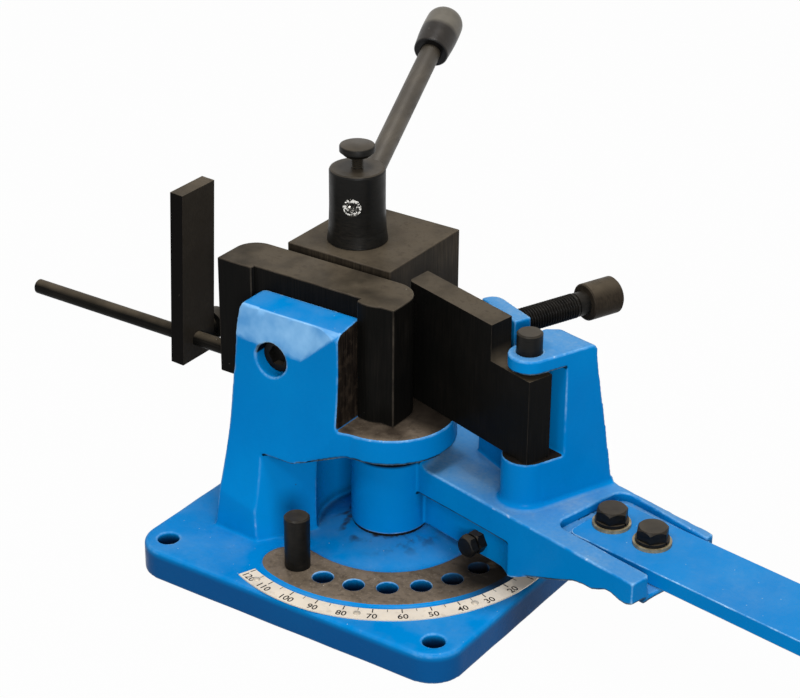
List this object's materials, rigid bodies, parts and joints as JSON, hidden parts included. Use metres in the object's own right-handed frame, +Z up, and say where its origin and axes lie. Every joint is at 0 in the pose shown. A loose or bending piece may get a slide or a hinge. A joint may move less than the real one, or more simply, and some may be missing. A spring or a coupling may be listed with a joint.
{
  "type": "bar bender",
  "caption": "Bench bender for flat bar: cast base with pivot and angle scale, fixed die, eccentric bar clamp, length stop and a lever arm whose plate wraps the bar round the die.",
  "frame": {"origin": "centre of the base's underside, midway between the four mounting holes", "axes": "+X along the bending die towards the lever, +Y away from the operator, +Z up"},
  "size_m": [0.9865, 0.343, 0.2891],
  "materials": {
    "blue_casting": "glossy enamel over cast iron, worn at edges",
    "blue_lever": "glossy enamel on flat steel",
    "black_oxide": "black oxide on ground steel, slightly rusty",
    "handle_steel": "dull grey drawn bar",
    "knob_plastic": "black plastic with a grey sheen",
    "scale_strip": "pale strip with black marks",
    "zinc": "yellow zinc plate",
    "bright_steel": "bright machined steel",
    "bronze": "plain bearing bronze"
  },
  "bodies": {
    "base": {"base_casting": "blue_casting", "bending_die": "black_oxide", "die_screw": "black_oxide", "angle_scale": "scale_strip", "scale_rivets": "bright_steel", "pivot_pin": "bright_steel", "thrust_washer": "bright_steel", "stop_rod": "black_oxide"},
    "arm": {"bending_arm": "blue_casting", "arm_bush": "bronze", "lever_bar": "blue_lever", "lever_bolts": "black_oxide", "lever_spring_washers": "black_oxide", "lever_flat_washers": "zinc", "stop_lock_nut": "black_oxide"},
    "arm_stop": {"stop_bolt": "black_oxide"},
    "plate": {"bending_plate": "black_oxide"},
    "plate_lock": {"plate_pin": "black_oxide"},
    "adjuster": {"adjusting_screw": "black_oxide", "adjusting_knob": "black_oxide"},
    "clamp_jaw": {"clamp_block": "black_oxide"},
    "clamp_lever": {"eccentric_shaft": "black_oxide", "clamp_hub": "black_oxide", "hub_set_screw": "bright_steel", "clamp_handle": "handle_steel", "clamp_knob": "knob_plastic"},
    "thumb_screw": {"hub_thumb_screw": "black_oxide"},
    "length_stop": {"stop_plate": "black_oxide"},
    "length_lock": {"stop_lock_screw": "black_oxide"},
    "angle_stop": {"angle_stop_pin": "black_oxide"}
  },
  "joints": [
    {"name": "arm_swing", "type": "hinge", "parent": "base", "child": "arm", "pos_m": [0.005, -0.007, 0.057], "axis": [0, 0, 1], "range_deg": [-79.8, 17.5]},
    {"name": "stop_bolt_travel", "type": "slide", "parent": "arm", "child": "arm_stop", "axis": [0.2351, 0.972, 0], "range_m": [0, 0.0013]},
    {"name": "plate_tilt", "type": "hinge", "parent": "arm", "child": "plate", "pos_m": [0.10522, -0.00696, 0.14], "axis": [0, 0, 1], "range_deg": [-2.6, 0.95]},
    {"name": "plate_pin_lift", "type": "slide", "parent": "arm", "child": "plate_lock", "axis": [0, 0, 1], "range_m": [0, 0.09]},
    {"name": "adjuster_feed", "type": "slide", "parent": "arm", "child": "adjuster", "axis": [0.3827, 0.9239, 0], "range_m": [-0.0007, 0.002]},
    {"name": "clamp_turn", "type": "hinge", "parent": "base", "child": "clamp_lever", "pos_m": [-0.0559, 0.0437, 0.15], "axis": [0, 0, 1], "range_deg": [-40, 40]},
    {"name": "clamp_slide", "type": "slide", "parent": "base", "child": "clamp_jaw", "axis": [0, 1, 0], "range_m": [-0.0034, 0.0034]},
    {"name": "thumb_screw_turn", "type": "hinge", "parent": "clamp_lever", "child": "thumb_screw", "pos_m": [-0.0559, 0.0437, 0.24], "axis": [0, 0, 1], "range_deg": [-180, 180]},
    {"name": "length_slide", "type": "slide", "parent": "base", "child": "length_stop", "axis": [1, 0, 0], "range_m": [-0.12, 0.018]},
    {"name": "length_lock_turn", "type": "hinge", "parent": "length_stop", "child": "length_lock", "pos_m": [-0.147, -0.0025, 0.1184], "axis": [0, 1, 0], "range_deg": [-180, 180]},
    {"name": "stop_pin_lift", "type": "slide", "parent": "base", "child": "angle_stop", "axis": [0, 0, 1], "range_m": [0, 0.06]}
  ],
  "couplings": [
    {"joint": "plate_tilt", "follows": "adjuster_feed", "rad_per_m": -21.8},
    {"joint": "clamp_slide", "follows": "clamp_turn", "m_per_rad": 0.0048}
  ]
}
